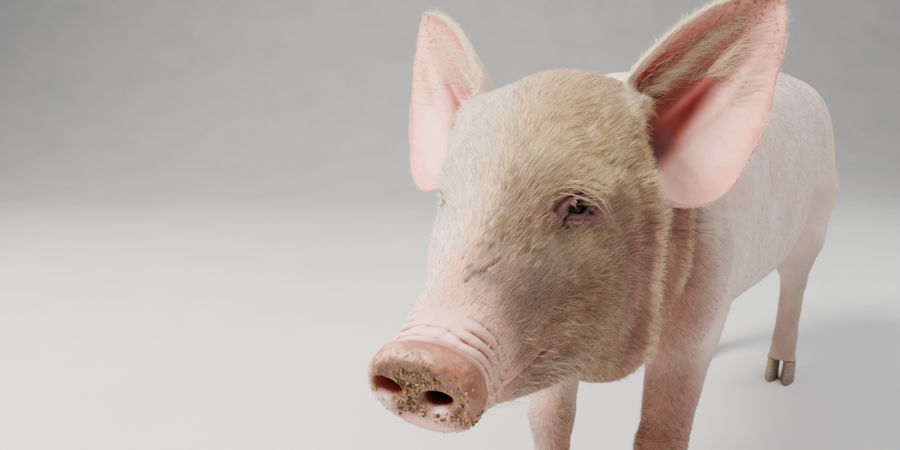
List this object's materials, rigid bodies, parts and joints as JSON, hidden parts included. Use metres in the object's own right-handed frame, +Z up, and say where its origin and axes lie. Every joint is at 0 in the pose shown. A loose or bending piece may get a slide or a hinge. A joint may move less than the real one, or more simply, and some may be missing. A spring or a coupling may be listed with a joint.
{
  "type": "pig",
  "caption": "Life-size standing young pig of the large white type, prick-eared, head low and turned a little to its left; a still model.",
  "frame": {"origin": "on the floor, under the middle of the bounding box", "axes": "+Z up; the pig faces -Y, so +Y runs back to its tail; +X is its left side"},
  "size_m": [0.3964, 1.313, 0.6808],
  "materials": {
    "skin": "matte pink hide",
    "body_skin": "matte pale pink hide",
    "snout_skin": "bare, slightly moist skin",
    "ear_skin": "thin warm pink hide",
    "eye": "wet gloss",
    "horn": "worn horn"
  },
  "bodies": {
    "root": {"head": "skin", "lower_jaw": "skin", "snout_disc": "snout_skin", "ear_left": "ear_skin", "ear_right": "ear_skin", "eye_left": "eye", "eye_right": "eye", "neck": "skin", "torso": "body_skin", "tail": "body_skin", "foreleg_left": "skin", "foreleg_right": "skin", "hindleg_left": "skin", "hindleg_right": "skin", "fore_left_hoof_inner": "horn", "fore_left_hoof_outer": "horn", "fore_right_hoof_inner": "horn", "fore_right_hoof_outer": "horn", "hind_left_hoof_inner": "horn", "hind_left_hoof_outer": "horn", "hind_right_hoof_inner": "horn", "hind_right_hoof_outer": "horn", "fore_left_dewclaw_inner": "horn", "fore_left_dewclaw_outer": "horn", "fore_right_dewclaw_inner": "horn", "fore_right_dewclaw_outer": "horn", "hind_left_dewclaw_inner": "horn", "hind_left_dewclaw_outer": "horn", "hind_right_dewclaw_inner": "horn", "hind_right_dewclaw_outer": "horn"}
  },
  "joints": []
}
